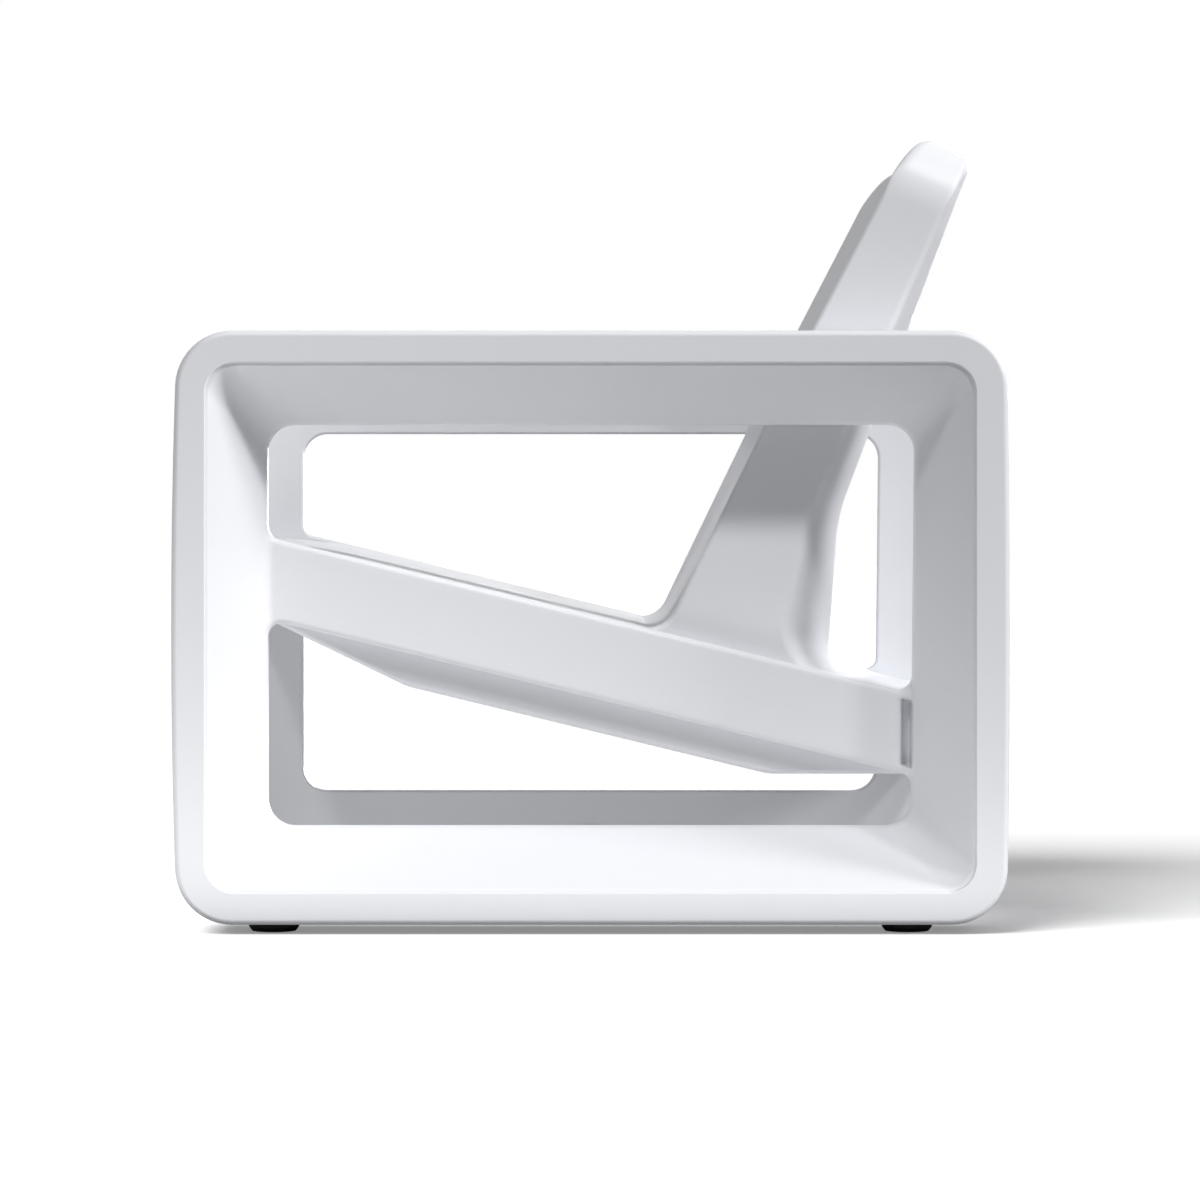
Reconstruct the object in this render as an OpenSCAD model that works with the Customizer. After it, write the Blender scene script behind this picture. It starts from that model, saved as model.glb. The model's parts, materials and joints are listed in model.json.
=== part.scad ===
// Outdoor lounge chair: two hollow moulded side frames carry one hollow moulded seat and back shell.
// Millimetres. X runs from the front (-X) to the rear (+X), Y across the chair, Z up from the floor.
// The origin is on the floor under the middle of the chair. Left and right are the sitter's.

/* [Overall size] */
// Width across the outer faces of the two side frames
overall_w = 800; // [700:10:1000]
// Depth of a side frame from front to rear
frame_depth = 840; // [800:10:900]
// Height of a side frame, from its underside to the top of the arm
frame_h = 595; // [580:5:640]
// Height of the top edge of the backrest above the floor
back_top_h = 812; // [760:4:880]

/* [Side frames] */
// Thickness of a side frame across the chair
frame_t = 110; // [104:1:130]
// Outer corner radius of a side frame
frame_corner_r = 57; // [45:1:70]
// How far the front post bulges at mid height
front_crown = 6; // [0:1:10]
// How far the rear post bulges at mid height
rear_crown = 3; // [0:1:8]
// Radius of the edge round the outer face
outer_edge_r = 6; // [3:0.5:9]
// Radius of the edge round the inner face
inner_edge_r = 3; // [1:0.5:4]
// Width of the flat ring on the front and rear posts
ring_post_w = 34; // [28:1:40]
// Width of the flat ring on the top and bottom rails
ring_rail_w = 32; // [28:1:40]
// Radius of the flat ring's inner corners
ring_corner_r = 30; // [20:1:40]
// Depth of the bevelled recess below the flat ring
recess_d = 90; // [80:1:92]
// Width of the front post at the window
front_post_w = 91; // [80:1:100]
// Width of the rear post at the window
rear_post_w = 89; // [80:1:100]
// How far the rear post is wider at the foot of the window than at its head
rear_post_lean = 4; // [0:1:8]
// Height of the top and bottom rails at the window
rail_h = 93; // [85:1:100]
// Radius of the window's four outer corners
window_r = 27; // [18:1:32]
// Radius of the window corners beside the seat beam
beam_corner_r = 14; // [8:1:20]
// Wall of the hollow mouldings
wall_t = 5; // [4:0.5:7]

/* [Seat beam] */
// Slope of the seat, falling to the rear
seat_slope = 13.6; // [12:0.1:15]
// Height of the seat surface above the floor in the middle of the chair
seat_mid_h = 318; // [310:1:326]
// Upright height of the slanted seat beam across each side frame
beam_h = 84; // [78:1:88]
// Width of the upright groove between the seat beam and the rear post
groove_w = 12; // [8:1:16]
// Depth of the groove below the face of the seat beam
groove_d = 12; // [6:1:14]
// Distance of the groove's ends from the edges of the seat beam
groove_end_gap = 7; // [5:1:12]

/* [Seat] */
// Distance of the seat's front edge behind the front of the side frames
seat_front_inset = 15; // [10:1:30]
// Distance of the seat's rear edge ahead of the rear of the side frames
seat_rear_inset = 20; // [15:1:35]
// Upright thickness of the seat between its parallel faces
seat_t = 119; // [110:1:122]
// Height of the flat rear part of the underside above the floor
seat_flat_h = 155; // [149:1:159]
// Place of the bend where the underside starts to rise to the front edge
ramp_x = -188; // [-210:1:-170]
// Slope of the rising front part of the underside
ramp_slope = 25.8; // [24:0.1:27]
// Place where the seat surface starts to roll down to its front edge
roll_x = -239; // [-270:1:-210]
// Radius of the roll towards the front edge
roll_r = 620; // [560:10:800]
// Radius of the seat's upper front edge
nose_top_r = 16; // [10:1:18]
// Radius of the seat's lower front edge
nose_bottom_r = 12; // [8:1:14]
// Radius of the bends of the underside
under_bend_r = 60; // [30:5:80]
// Radius of the seat's rear edges
deck_edge_r = 18; // [10:1:22]

/* [Backrest] */
// Clearance between each side of the backrest and the side frame beside it
back_side_gap = 5; // [4.5:0.5:12]
// Place where the front of the backrest meets the seat
back_base_x = 75; // [50:1:90]
// Lean of the backrest below its slight bend
lean_low = 25.6; // [24:0.1:27]
// Lean of the backrest above its slight bend
lean_high = 27.4; // [26:0.1:29]
// Height of the slight bend above the floor
bend_h = 565; // [525:5:605]
// How far the top face falls from its front edge to its rear edge
top_fall = 26; // [20:1:32]
// Level depth of the backrest's sides at the top
side_top_depth = 72; // [66:1:80]
// Level depth of the backrest's sides at the waist
side_waist_depth = 92; // [86:1:98]
// Height of the waist above the floor
waist_h = 420; // [404:2:444]
// Level depth of the backrest's sides at the seat
side_foot_depth = 118; // [108:1:126]
// How far the middle of the rear face stands out at the top
bulge_top = 8; // [4:1:14]
// How far the middle of the rear face stands out at the waist
bulge_waist = 34; // [20:1:40]
// How far the middle of the rear face stands out at the seat
bulge_foot = 54; // [40:1:60]
// How far the middle of the front face is set back at the top
dish_top = 18; // [6:1:24]
// How far the middle of the front face is set back at the slight bend
dish_bend = 20; // [6:1:26]
// Width of the slanting strip between each side and the middle of the front and rear faces
bulge_strip_w = 70; // [62:2:90]
// Radius of the backrest's two upper corners, seen from the front
back_corner_r = 55; // [40:1:60]
// Radius of the front edge of the top face
top_front_r = 14; // [8:1:18]
// Radius of the rear edge of the top face
top_rear_r = 7; // [4:1:10]
// Radius of the bend between the seat and the front of the backrest
front_blend_r = 30; // [20:1:45]
// Radius of the bend between the rear of the backrest and the deck behind it
rear_blend_r = 42; // [25:1:50]
// Radius of the bend at the waist of the rear face
waist_bend_r = 160; // [80:10:200]
// Radius of the backrest's side edges
back_edge_r = 6; // [5:0.5:10]

/* [Feet] */
// Height of a rubber foot below the side frame
foot_h = 10; // [8:0.5:12]
// Diameter of a foot
foot_d = 53; // [44:1:60]
// Diameter of a foot where it meets the floor
foot_sole_d = 44; // [40:1:46]
// Distance of a foot's middle from the front or the rear of the side frame
foot_inset = 100; // [90:5:130]
// Diameter of the steel disc moulded into a foot
stud_disc_d = 32; // [28:1:34]
// Thickness of the steel disc
stud_disc_t = 3; // [2:0.5:4]
// Length of the stud above the disc
stud_l = 15; // [12:1:18]

/* [Fixings] */
// Diameter of the bolts and studs
bolt_d = 8; // [6:1:10]
// Diameter of a bolt head
bolt_head_d = 13; // [11:1:16]
// Height of a bolt head
bolt_head_h = 8; // [6:1:10]
// Across-flats size of the hexagon socket in a bolt head
bolt_socket_d = 6; // [4:1:7]
// Diameter of a washer
washer_d = 24; // [18:1:28]
// Thickness of a washer
washer_t = 2; // [1:0.5:3]
// Diameter of a threaded brass insert
insert_d = 12; // [11:1:14]
// Length of an insert in the seat beam
beam_insert_l = 14; // [10:1:15]
// Length of an insert above a foot
foot_insert_l = 17; // [14:1:20]
// Diameter of the solid boss round an insert above a foot
foot_boss_d = 26; // [20:1:30]
// Place of the middle bolt along the seat
bolt_mid_x = 24; // [16:1:28]
// Distance between neighbouring bolts along the seat
bolt_pitch = 132; // [110:1:134]
// Depth of the bolts below the seat surface, square to it
bolt_depth = 41; // [36:1:46]
// Thickness of the seat's side wall where the bolts pass
bolt_wall_t = 12; // [9:1:15]
// Clearance round a bolt in the seat's side wall
bolt_gap = 0.5; // [0.2:0.1:1]

/* [Bolt pockets and covers] */
// Length of a bolt pocket along the seat
pocket_l = 66; // [50:1:76]
// Width of a bolt pocket across the seat
pocket_w = 50; // [44:1:64]
// Height of a bolt pocket above the bolt
pocket_head_h = 18; // [15:1:22]
// Width of the ledge that a pocket's cover rests on
cover_ledge_w = 4; // [3:0.5:6]
// Thickness of a cover
cover_t = 3; // [2:0.5:4]
// Clearance round the edge of a cover
cover_gap = 0.4; // [0.2:0.1:0.8]
// Height of the spring lip under a cover
cover_lip_h = 8; // [5:1:12]
// Thickness of the spring lip
cover_lip_t = 2; // [1.5:0.5:3]
// Diameter of the finger hole that lifts a cover
cover_hole_d = 10; // [8:1:14]

/* [Vent plugs] */
// Diameter of a vent plug's shank
plug_d = 10; // [8:1:14]
// Length of a vent plug's shank
plug_l = 11; // [8:1:14]
// Diameter of a vent plug's head
plug_head_d = 17; // [15:1:22]
// Height of a vent plug's head
plug_head_h = 2.5; // [1.5:0.5:4]
// Height of a side frame's vent plug above the frame's underside
frame_plug_h = 46; // [36:1:56]
// Distance of the seat's vent plug behind the middle of the chair
seat_plug_x = 60; // [40:1:80]

/* [Hidden] */

// Overrun of every cut
cut = 1;
// Facets round a circle
$fn = 64;
// Straight pieces in each corner arc of an outline
arc_steps = 7;
// Straight pieces in an edge rounded across the loops of a loft
edge_steps = 4;
// Depth by which the foot of the backrest is sunk into the seat
root_sink = 0.8;
// Depth of the backrest's root below the seat surface, before the seat's hollow is cut
root_depth = 30;
// How far the root reaches past the backrest, as a share of the radius of its bend
root_reach_share = 1.5;
// Heights of the points that draw a post's bulge, as shares of half the frame's height
crown_shares = [-0.72, -0.36, 0, 0.36, 0.72];
// Places of the points that draw the roll of the seat's front, as shares of its length
roll_shares = [0.2, 0.4, 0.6, 0.8];
// Depth of the backrest's hollow below the seat surface, in walls
hollow_reach_share = 3;
// Place of the bend in a foot's edge, as shares of its flare and of its height
foot_bend_shares = [0.7, 0.4];
// Floor of a bolt's hexagon socket, as a share of the head's height
socket_floor_share = 0.45;
// Clearance between a plain-drawn thread, or a piece moulded or pressed in, and its mate
fit_gap = 0.1;
// Depth of engagement kept free at the end of an insert
insert_end_gap = 1;
// Colours of the mouldings and the fittings
shell_white = [0.93, 0.93, 0.94];
rubber_black = [0.05, 0.05, 0.05];
steel_grey = [0.62, 0.63, 0.65];
brass_yellow = [0.76, 0.62, 0.28];

half_w = overall_w / 2;
inner_half_w = half_w - frame_t;
back_half_w = inner_half_w - back_side_gap;
frame_mid_h = foot_h + frame_h / 2;
frame_front_x = -frame_depth / 2;
frame_rear_x = frame_depth / 2;
seat_front_x = frame_front_x + seat_front_inset;
seat_rear_x = frame_rear_x - seat_rear_inset;
window_front_x = frame_front_x + front_post_w;
window_rear_x = frame_rear_x - rear_post_w;
window_bottom_h = foot_h + rail_h;
window_top_h = foot_h + frame_h - rail_h;
bolt_r = bolt_d / 2;
insert_r = insert_d / 2;
bolt_l = bolt_wall_t + washer_t + beam_insert_l - insert_end_gap;
seat_square_t = seat_t * cos(seat_slope);
bolt_places = [bolt_mid_x - bolt_pitch, bolt_mid_x, bolt_mid_x + bolt_pitch];
foot_x = frame_depth / 2 - foot_inset;
foot_y = half_w - frame_t / 2;

// Heights of the seat's surfaces at a place along the chair
function seat_z(x) = seat_mid_h - x * tan(seat_slope);
function roll_drop(x) = x < roll_x ? pow(x - roll_x, 2) / (2 * roll_r) : 0;
function ramp_z(x) = seat_z(ramp_x) - seat_t + (ramp_x - x) * tan(ramp_slope);
function beam_bottom_z(x) = seat_z(x) - beam_h;

// Vector helpers
function unit(v) = v / norm(v);
function left_of(v) = [-v.y, v.x];
function turn(v, a) = [v.x * cos(a) - v.y * sin(a), v.x * sin(a) + v.y * cos(a)];
function bend_angle(u, v) = atan2(u.x * v.y - u.y * v.x, u.x * v.x + u.y * v.y);

// One corner of an outline, rounded by an arc
function corner_arc(before, at, after, r) =
    let (u = unit(at - before), v = unit(after - at), a = bend_angle(u, v))
    let (start = at - u * r * tan(abs(a) / 2), side = left_of(u) * sign(a))
    let (centre = start + side * r)
    r == 0 ? [at] : [for (i = [0:arc_steps]) centre + turn(start - centre, a * i / arc_steps)];

// An outline with every corner rounded by its own radius
function rounded(points, radii) =
    let (n = len(points))
    [for (i = [0:n - 1]) each corner_arc(points[(i + n - 1) % n], points[i], points[(i + 1) % n], radii[i])];

// An anticlockwise outline moved inwards by a distance
function shrunk(points, d) =
    let (n = len(points))
    [for (i = [0:n - 1])
        let (a = left_of(unit(points[i] - points[(i + n - 1) % n])))
        let (b = left_of(unit(points[(i + 1) % n] - points[i])))
        points[i] + (a + b) * d / (1 + a * b)];

// A solid through a row of level loops, each [y, outline], with as many points in every outline
module loft(loops) {
    n = len(loops[0][1]);
    last = len(loops) - 1;
    points = [for (l = loops) for (p = l[1]) [p.x, l[0], p.y]];
    sides = [for (k = [0:last - 1]) for (i = [0:n - 1])
        let (a = k * n + i, b = k * n + (i + 1) % n)
        each [[a, b + n, a + n], [a, b, b + n]]];
    caps = [[for (i = [n - 1:-1:0]) i], [for (i = [0:n - 1]) last * n + i]];
    polyhedron(points = points, faces = concat(sides, caps));
}

// A prism across the chair from y0 to y1 over an outline of [x, z] points
module across(outline, y0, y1) {
    translate([0, y1, 0]) rotate([90, 0, 0]) linear_extrude(height = y1 - y0) polygon(outline);
}

// A place on the seat's slope, with +X down the slope, +Z square to the seat surface
module on_slope(x, depth) {
    translate([x, 0, seat_z(x)]) rotate([0, seat_slope, 0]) translate([0, 0, -depth]) children();
}

// The right-hand twin of a left-hand shape
module mirrored() {
    mirror([0, 1, 0]) children();
}

// Corners and rounding of the side frame's outer outline
function post_x(edge, crown, s) = sign(edge) * (abs(edge) - crown * s * s);
function frame_corners() = concat(
    [[post_x(frame_front_x, front_crown, 1), foot_h], [post_x(frame_rear_x, rear_crown, 1), foot_h]],
    [for (s = crown_shares) [post_x(frame_rear_x, rear_crown, s), frame_mid_h + s * frame_h / 2]],
    [[post_x(frame_rear_x, rear_crown, 1), foot_h + frame_h]],
    [[post_x(frame_front_x, front_crown, 1), foot_h + frame_h]],
    [for (s = crown_shares) [post_x(frame_front_x, front_crown, s), frame_mid_h - s * frame_h / 2]]
);
function frame_radii(d) = concat(
    [frame_corner_r - d, frame_corner_r - d], [for (s = crown_shares) 0],
    [frame_corner_r - d, frame_corner_r - d], [for (s = crown_shares) 0]
);
function frame_outline(d) = rounded(shrunk(frame_corners(), d), frame_radii(d));

// Outlines of the ring's inner edge and of the whole window, grown by a distance
function box_corners(x0, x1_low, x1_high, z0, z1) = [[x0, z0], [x1_low, z0], [x1_high, z1], [x0, z1]];
function ring_outline(grow) = rounded(
    shrunk(box_corners(frame_front_x + ring_post_w, frame_rear_x - ring_post_w,
        frame_rear_x - ring_post_w, foot_h + ring_rail_w, foot_h + frame_h - ring_rail_w), -grow),
    [for (i = [0:3]) ring_corner_r + grow]
);
function window_outline(grow) = rounded(
    shrunk(box_corners(window_front_x, window_rear_x - rear_post_lean, window_rear_x,
        window_bottom_h, window_top_h), -grow),
    [for (i = [0:3]) window_r + grow]
);

// Rear edge of the window at a height
function window_edge_x(z) =
    window_rear_x - rear_post_lean * (window_top_h - z) / (window_top_h - window_bottom_h);

// The window above the seat beam and the window below it
function window_rear_on(x, drop) = window_edge_x(seat_z(x) - drop);
upper_rear_x = window_rear_on(window_rear_x, 0);
lower_rear_x = window_rear_on(window_rear_x, beam_h);
function upper_window() = rounded(
    [[window_front_x, seat_z(window_front_x)], [upper_rear_x, seat_z(upper_rear_x)],
        [window_rear_x, window_top_h], [window_front_x, window_top_h]],
    [beam_corner_r, beam_corner_r, window_r, window_r]
);
function lower_window() = rounded(
    [[window_front_x, window_bottom_h], [window_rear_x - rear_post_lean, window_bottom_h],
        [lower_rear_x, beam_bottom_z(lower_rear_x)], [window_front_x, beam_bottom_z(window_front_x)]],
    [window_r, window_r, beam_corner_r, beam_corner_r]
);

// Loops that round the outer and the inner edge of a frame
function frame_loops() = concat(
    [for (i = [0:edge_steps]) let (a = 90 * i / edge_steps)
        [outer_edge_r * (1 - cos(a)), frame_outline(outer_edge_r * (1 - sin(a)))]],
    [for (i = [0:edge_steps]) let (a = 90 * i / edge_steps)
        [frame_t - inner_edge_r * (1 - sin(a)), frame_outline(inner_edge_r * (1 - cos(a)))]]
);

// The bevelled recess, from the ring down to the plane of the seat beam's face
module recess() {
    loft([[-cut, ring_outline(0)], [0, ring_outline(0)], [recess_d, window_outline(0)]]);
}

// The hollow inside a frame's posts and rails
module frame_hollow() {
    bevel_run = front_post_w - ring_post_w;
    bevel_wall = wall_t * norm([recess_d, bevel_run]) / recess_d;
    difference() {
        loft([[wall_t, frame_outline(wall_t)], [frame_t - wall_t, frame_outline(wall_t)]]);
        loft([
            [0, ring_outline(bevel_wall)],
            [recess_d, window_outline(bevel_wall)],
            [frame_t, window_outline(bevel_wall)],
        ]);
        for (x = [-foot_x, foot_x]) {
            translate([x, frame_t / 2, foot_h]) cylinder(d = foot_boss_d, h = foot_insert_l + wall_t);
        }
    }
}

// A side frame with its outer face on the plane y = 0 and its inner face at y = frame_t
module side_frame() {
    difference() {
        loft(frame_loops());
        recess();
        across(upper_window(), recess_d - cut, frame_t + cut);
        across(lower_window(), recess_d - cut, frame_t + cut);
        groove();
        frame_hollow();
        for (x = [-foot_x, foot_x]) {
            translate([x, frame_t / 2, foot_h - cut]) cylinder(r = insert_r, h = foot_insert_l + cut);
        }
        bolt_axes(frame_t) translate([0, 0, -beam_insert_l]) cylinder(r = insert_r, h = beam_insert_l + cut);
        frame_plug_axis(frame_t) translate([0, 0, -wall_t - cut]) cylinder(d = plug_d, h = wall_t + 2 * cut);
    }
}

// The upright groove that sets the rear end of the seat beam off from the rear post
module groove() {
    x1 = window_edge_x(seat_z(window_rear_x));
    x0 = x1 - groove_w;
    across([
        [x0, beam_bottom_z(x0) + groove_end_gap], [x1, beam_bottom_z(x1) + groove_end_gap],
        [x1, seat_z(x1) - groove_end_gap], [x0, seat_z(x0) - groove_end_gap],
    ], recess_d - cut, recess_d + groove_d);
}

// Axes of the bolts through a frame's inner face on the plane y: +Z of the children points inwards
module bolt_axes(y) {
    for (x = bolt_places) {
        on_slope(x, bolt_depth) translate([0, y, 0]) rotate([-90, 0, 0]) children();
    }
}

// Axis of the vent plug in a frame's inner face on the plane y: +Z of the children points inwards
module frame_plug_axis(y) {
    translate([0, y, foot_h + frame_plug_h]) rotate([-90, 0, 0]) children();
}

module left_side_frame() {
    color(shell_white) translate([0, -half_w, 0]) side_frame();
}

module right_side_frame() {
    color(shell_white) mirrored() translate([0, -half_w, 0]) side_frame();
}

// Corners and rounding of the seat's side outline, anticlockwise from the lower front
seat_flat_x = (seat_mid_h - seat_t - seat_flat_h) / tan(seat_slope);
seat_corners = concat(
    [[seat_front_x, ramp_z(seat_front_x)], [ramp_x, ramp_z(ramp_x)], [seat_flat_x, seat_flat_h],
        [seat_rear_x, seat_flat_h], [seat_rear_x, seat_z(seat_rear_x)], [roll_x, seat_z(roll_x)]],
    [for (s = roll_shares) let (x = roll_x + s * (seat_front_x - roll_x)) [x, seat_z(x) - roll_drop(x)]],
    [[seat_front_x, seat_z(seat_front_x) - roll_drop(seat_front_x)]]
);
function seat_radii(d) = concat(
    [nose_bottom_r - d, under_bend_r - d, under_bend_r - d, deck_edge_r - d, deck_edge_r - d, 0],
    [for (s = roll_shares) 0], [nose_top_r - d]
);
function seat_outline(d) = rounded(shrunk(seat_corners, d), seat_radii(d));

// Front face of the backrest, level depth of its sides and stand-out of its middle at a height
function back_front_x(z) =
    let (base_z = seat_z(back_base_x), low = back_base_x + (min(z, bend_h) - base_z) * tan(lean_low))
    low + max(z - bend_h, 0) * tan(lean_high);
function between(z, z0, z1, a, b) = a + (b - a) * (z - z0) / (z1 - z0);
top_rear_h = back_top_h - top_fall;
function side_depth(z) = between(z, waist_h, top_rear_h, side_waist_depth, side_top_depth);
function bulge(z) = between(z, waist_h, top_rear_h, bulge_waist, bulge_top);

// Corners of the backrest's side outline where its top is lowered by drop and its faces are moved back by
// a share of the bulge and the dish, anticlockwise from the root under the seat surface
function rear_foot_x(share) = back_base_x + side_foot_depth + share * bulge_foot;
function back_upper_corners(drop, share) =
    let (front_top = back_top_h - drop, rear_top = top_rear_h - drop)
    [
        [back_front_x(waist_h) + side_waist_depth + share * bulge_waist, waist_h],
        [back_front_x(rear_top) + side_depth(rear_top) + share * bulge(rear_top), rear_top],
        [back_front_x(front_top) + share * dish_top, front_top],
        [back_front_x(bend_h) + share * dish_bend, bend_h],
    ];
function back_corners(drop, share) =
    let (foot_x1 = rear_foot_x(share))
    let (x0 = back_base_x - front_blend_r * root_reach_share, x1 = foot_x1 + rear_blend_r * root_reach_share)
    concat(
        [[x0, seat_z(x0) - root_depth], [x1, seat_z(x1) - root_depth], [x1, seat_z(x1) - root_sink]],
        [[foot_x1, seat_z(foot_x1) - root_sink]],
        back_upper_corners(drop, share),
        [[back_base_x, seat_z(back_base_x) - root_sink], [x0, seat_z(x0) - root_sink]]
    );
function back_radii(d) = [0, 0, 0, rear_blend_r + d, waist_bend_r + d, top_rear_r, top_front_r, 0,
    front_blend_r + d, 0];

// How far the top is lowered at a place across the chair, inside a skin of thickness d
function corner_drop(y, d) =
    let (r = back_corner_r - d, over = abs(y) - (back_half_w - back_corner_r))
    over <= 0 ? 0 : r - sqrt(max(r * r - over * over, 0));
function bulge_share(y) = min((back_half_w - abs(y)) / bulge_strip_w, 1);
function back_loop(y, d) =
    [y, rounded(shrunk(back_corners(corner_drop(y, 0), bulge_share(y)), d), back_radii(d))];

// Distances from the backrest's sides at which the round of its upper corners is drawn
corner_places = concat(
    [for (i = [1:arc_steps]) let (p = back_corner_r * (1 - cos(90 * i / arc_steps)))
        if (p > back_edge_r + cut) p],
    [bulge_strip_w]
);
function backwards(list) = [for (i = [len(list) - 1:-1:0]) list[i]];
function both_sides(places) = concat([for (p = places) p - back_half_w],
    [for (p = backwards(places)) back_half_w - p]);

// The backrest, rounded at its upper corners, dished in front and raised in the middle of its rear face
module backrest() {
    angles = [for (i = [0:edge_steps]) 90 * i / edge_steps];
    ends = [for (a = angles) [back_half_w - back_edge_r * (1 - cos(a)), back_edge_r * (1 - sin(a))]];
    loft(concat(
        [for (e = ends) back_loop(-e[0], e[1])],
        [for (y = both_sides(corner_places)) back_loop(y, 0)],
        [for (e = backwards(ends)) back_loop(e[0], e[1])]
    ));
}

// The hollow inside the backrest, open to the hollow of the seat below it
function back_hollow_corners(drop, share) =
    let (x1 = rear_foot_x(share), reach = wall_t * hollow_reach_share)
    concat([[back_base_x, seat_z(back_base_x) - reach], [x1, seat_z(x1) - reach]],
        back_upper_corners(drop, share));
module back_hollow() {
    loft([for (y = both_sides(concat([wall_t], corner_places)))
        [y, rounded(shrunk(back_hollow_corners(corner_drop(y, wall_t), bulge_share(y)), wall_t),
            [0, 0, waist_bend_r + wall_t, 0, 0, 0])]]);
}

// A bolt pocket on the left, grown by a distance all round, open at the seat's underside
module pocket(grow) {
    low = seat_square_t + cut;
    high = bolt_depth - pocket_head_h - grow;
    translate([-pocket_l / 2 - grow, -inner_half_w + bolt_wall_t - grow, -low])
        cube([pocket_l + 2 * grow, pocket_w + 2 * grow, low - high]);
}

// The shallow seat of a pocket's cover, or the cover's own plate when shrunk by a clearance
module cover_plate(gap, overrun) {
    out = cover_ledge_w - gap;
    translate([-pocket_l / 2 - out, -inner_half_w + bolt_wall_t - out, -seat_square_t - overrun])
        cube([pocket_l + 2 * out, pocket_w + 2 * out, cover_t + overrun]);
}

// Everything that is cut away for the fixings of one side
module side_cuts() {
    for (x = bolt_places) {
        on_slope(x, 0) pocket(0);
        on_slope(x, 0) cover_plate(0, cut);
    }
    bolt_axes(-inner_half_w) translate([0, 0, -cut])
        cylinder(r = bolt_r + bolt_gap, h = bolt_wall_t + 2 * cut);
}

// Solid blocks that are left round the pockets of one side
module side_blocks() {
    for (x = bolt_places) {
        on_slope(x, 0) pocket(wall_t + cover_ledge_w);
    }
}

// The hollow inside the seat
module seat_hollow() {
    difference() {
        across(seat_outline(wall_t), wall_t - inner_half_w, inner_half_w - wall_t);
        side_blocks();
        mirrored() side_blocks();
    }
}

module seat_and_back_shell() {
    color(shell_white) difference() {
        union() {
            across(seat_outline(0), -inner_half_w, inner_half_w);
            backrest();
        }
        seat_hollow();
        back_hollow();
        side_cuts();
        mirrored() side_cuts();
        on_slope(seat_plug_x, seat_square_t) translate([0, 0, -cut])
            cylinder(d = plug_d, h = wall_t + 2 * cut);
    }
}

// A rubber foot with its sole on the floor
module foot(x, y) {
    r = foot_d / 2;
    sole_r = foot_sole_d / 2;
    disc_r = stud_disc_d / 2;
    bend = foot_bend_shares;
    color(rubber_black) translate([x, y, 0]) rotate_extrude() polygon([
        [0, 0], [sole_r, 0], [sole_r + bend[0] * (r - sole_r), bend[1] * foot_h], [r, foot_h],
        [disc_r, foot_h], [disc_r, foot_h - stud_disc_t], [0, foot_h - stud_disc_t],
    ]);
}

module front_left_foot() {
    foot(-foot_x, -foot_y);
}

module front_right_foot() {
    foot(-foot_x, foot_y);
}

module rear_left_foot() {
    foot(foot_x, -foot_y);
}

module rear_right_foot() {
    foot(foot_x, foot_y);
}

// Places of the four feet at the underside of the side frames
module foot_places() {
    for (x = [-foot_x, foot_x]) {
        for (y = [-foot_y, foot_y]) {
            translate([x, y, foot_h]) children();
        }
    }
}

module foot_studs() {
    color(steel_grey) foot_places() {
        translate([0, 0, -stud_disc_t]) cylinder(d = stud_disc_d - fit_gap, h = stud_disc_t);
        cylinder(d = bolt_d - fit_gap, h = stud_l);
    }
}

// A threaded insert, its thread drawn as a plain hole
module insert(l) {
    color(brass_yellow) difference() {
        cylinder(d = insert_d - fit_gap, h = l);
        translate([0, 0, -cut]) cylinder(d = bolt_d, h = l + 2 * cut);
    }
}

module foot_inserts() {
    foot_places() insert(foot_insert_l);
}

module left_frame_inserts() {
    bolt_axes(-inner_half_w) translate([0, 0, -beam_insert_l]) insert(beam_insert_l);
}

module right_frame_inserts() {
    mirrored() left_frame_inserts();
}

// A socket-head bolt with the frame's inner face at z = 0
module bolt() {
    top = bolt_wall_t + washer_t;
    color(steel_grey) difference() {
        union() {
            translate([0, 0, top - bolt_l]) cylinder(d = bolt_d - fit_gap, h = bolt_l);
            translate([0, 0, top]) cylinder(d = bolt_head_d, h = bolt_head_h);
        }
        translate([0, 0, top + bolt_head_h * socket_floor_share])
            cylinder(d = bolt_socket_d / cos(30), h = bolt_head_h, $fn = 6);
    }
}

module left_frame_bolts() {
    bolt_axes(-inner_half_w) bolt();
}

module right_frame_bolts() {
    mirrored() left_frame_bolts();
}

module left_bolt_washers() {
    color(steel_grey) bolt_axes(-inner_half_w) translate([0, 0, bolt_wall_t]) difference() {
        cylinder(d = washer_d, h = washer_t);
        translate([0, 0, -cut]) cylinder(r = bolt_r + fit_gap, h = washer_t + 2 * cut);
    }
}

module right_bolt_washers() {
    mirrored() left_bolt_washers();
}

// A snap-in cover over the pocket of the left-hand bolt at x
module bolt_cover(x) {
    lip_x = pocket_l / 2 - cover_gap;
    lip_y = -inner_half_w + bolt_wall_t + cover_gap;
    lip_l = pocket_l - 2 * cover_gap;
    lip_w = pocket_w - 2 * cover_gap;
    color(shell_white) on_slope(x, 0) difference() {
        union() {
            cover_plate(cover_gap, 0);
            translate([-lip_x, lip_y, cover_t - seat_square_t]) difference() {
                cube([lip_l, lip_w, cover_lip_h]);
                translate([cover_lip_t, cover_lip_t, 0])
                    cube([lip_l - 2 * cover_lip_t, lip_w - 2 * cover_lip_t, cover_lip_h + cut]);
            }
        }
        translate([0, lip_y + lip_w / 2, -seat_square_t - cut]) cylinder(d = cover_hole_d, h = cover_t + 2 * cut);
    }
}

module front_left_bolt_cover() {
    bolt_cover(bolt_places[0]);
}

module middle_left_bolt_cover() {
    bolt_cover(bolt_places[1]);
}

module rear_left_bolt_cover() {
    bolt_cover(bolt_places[2]);
}

module front_right_bolt_cover() {
    mirrored() bolt_cover(bolt_places[0]);
}

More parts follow.
